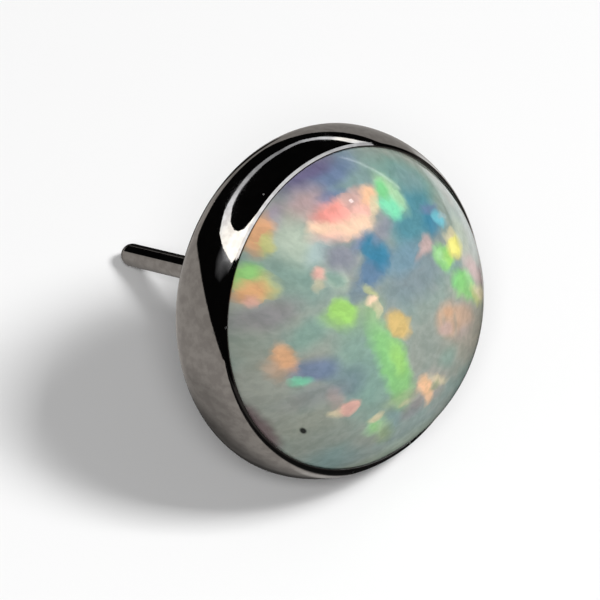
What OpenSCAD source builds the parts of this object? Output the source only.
// Threadless piercing end: a cabochon opal in a polished bezel cup, with a plain pin on its back.
// The pin pushes into a hollow threadless post, and the flat back of the cup then meets the post's end.
// Each piece is drawn on the head's own axis, with the cup's flat back at z = 0 and the stone above it.
// The finished piece is then laid down as it rests by itself: on the cup's back corner and the pin's tip.

/* [Stone] */
// Diameter of the round cabochon
stone_d = 6; // [5.5:0.1:7]
// Height of the dome above the lip of the cup
dome_rise = 1.8; // [1.4:0.1:2]
// Bevel around the edge of the stone's flat base
base_bevel = 0.15; // [0.05:0.05:0.3]

/* [Bezel cup] */
// Thickness of the cup's wall beside the stone, at the widest place
wall_t = 0.23; // [0.18:0.01:0.4]
// Height of the cup from its flat back to its lip
cup_h = 1.5; // [1.4:0.05:1.8]
// Thickness of the cup's floor under the stone
floor_t = 0.55; // [0.5:0.05:0.7]
// Radius of the rounded corner between the back and the wall
back_round = 0.6; // [0.4:0.05:0.8]
// How far the lip is burnished in over the edge of the stone
lip_cover = 0.07; // [0.04:0.01:0.12]
// Width of the lip's edge
lip_t = 0.06; // [0.05:0.01:0.08]

/* [Pin] */
// Diameter of the pin
pin_d = 0.45; // [0.4:0.01:0.55]
// Length of the pin that stands out of the cup's back
pin_l = 5.4; // [4.5:0.1:8]
// Diameter of the pin's tapered end at the cup's back, where it is pressed in
taper_d = 0.36; // [0.34:0.01:0.36]
// Diameter of the tapered end at the bottom of its hole
taper_end_d = 0.3; // [0.26:0.01:0.32]
// Depth of the blind hole that holds the tapered end
hole_depth = 0.35; // [0.2:0.05:0.4]

/* [Fit] */
// Gap between two pieces that are set or pressed together
gap = 0.02; // [0.01:0.01:0.03]

/* [Hidden] */
$fn = 96;

// Radii of the stone, of the hollow that it sits in, of the cup at its widest and of the pin.
stone_r = stone_d / 2;
hollow_r = stone_r + gap;
cup_r = hollow_r + wall_t;
pin_r = pin_d / 2;

// The dome is part of a sphere, and the lip follows it at the gap's width.
lip_in_r = stone_r - lip_cover;
dome_r = (lip_in_r * lip_in_r + dome_rise * dome_rise - gap * gap) / (2 * (dome_rise + gap));
dome_z = cup_h + dome_rise - dome_r;
base_z = floor_t + gap;

// The wall's upper part is an arc from the widest place, level with the corner's centre, to the lip.
lip_inset = cup_r - lip_in_r - lip_t;
arc_h = cup_h - back_round;
arc_r = (lip_inset * lip_inset + arc_h * arc_h) / (2 * lip_inset);

// The resting tilt: one flat surface meets the rounded corner and the pin's round tip.
corner_r = cup_r - back_round;
tip_z = pin_l - pin_r;
reach = norm([corner_r, back_round + tip_z]);
tilt = acos((pin_r - back_round) / reach) - atan2(back_round + tip_z, corner_r);

// Once tilted, the tip's centre is this high, and these are the front of the dome and the end of the tip.
lift = tip_z * sin(tilt) + pin_r;
front_y = -dome_z * cos(tilt) - dome_r;
back_y = tip_z * cos(tilt) + pin_r;

// Radius of the pin's tapered end at height z above the cup's back.
function taper_r(z) = (taper_d + (taper_end_d - taper_d) * z / hole_depth) / 2;

// Lays a piece down: the stone faces the front and up, and the middle of the footprint is the origin.
module at_rest() {
    translate([0, -(front_y + back_y) / 2, lift])
        rotate([90 - tilt, 0, 0])
            children();
}

// Half of the cup's outer section: flat back, rounded corner, then the wall's arc in to the lip.
module cup_section() {
    square([corner_r, cup_h]);
    intersection() {
        translate([corner_r, back_round])
            circle(r = back_round);
        square([cup_r, back_round]);
    }
    intersection() {
        translate([cup_r - arc_r, back_round])
            circle(r = arc_r);
        translate([0, back_round])
            square([cup_r, arc_h]);
    }
}

// The hollow for the stone: straight beside the girdle, then closing in over it along the dome.
module stone_hollow() {
    intersection() {
        translate([0, 0, floor_t])
            cylinder(r = hollow_r, h = cup_h);
        translate([0, 0, dome_z])
            sphere(r = dome_r + gap);
    }
}

// The tapered blind hole in the middle of the back.
module pin_hole() {
    translate([0, 0, -gap])
        cylinder(r1 = taper_r(-gap) + gap, r2 = taper_r(hole_depth) + gap, h = hole_depth + gap);
}

module bezel_cup() {
    color("darkgray")
        at_rest()
            difference() {
                rotate_extrude()
                    cup_section();
                stone_hollow();
                pin_hole();
            }
}

// Half of the stone's section below the dome: flat base, bevel and girdle.
module stone_base_section() {
    polygon([
        [0, base_z],
        [stone_r - base_bevel, base_z],
        [stone_r, base_z + base_bevel],
        [stone_r, cup_h + dome_rise],
        [0, cup_h + dome_rise]
    ]);
}

module opal_cabochon() {
    color("darkseagreen")
        at_rest()
            intersection() {
                rotate_extrude()
                    stone_base_section();
                translate([0, 0, dome_z])
                    sphere(r = dome_r);
            }
}

// The pin's round tip and its full width up to a shoulder just under the cup, then the tapered end.
module threadless_pin() {
    color("gray")
        at_rest()
            union() {
                translate([0, 0, -tip_z])
                    sphere(r = pin_r);
                translate([0, 0, -tip_z])
                    cylinder(r = pin_r, h = tip_z - gap);
                translate([0, 0, -2 * gap])
                    cylinder(r1 = taper_r(-2 * gap), r2 = taper_r(hole_depth - gap), h = hole_depth + gap);
            }
}

bezel_cup();
opal_cabochon();
threadless_pin();
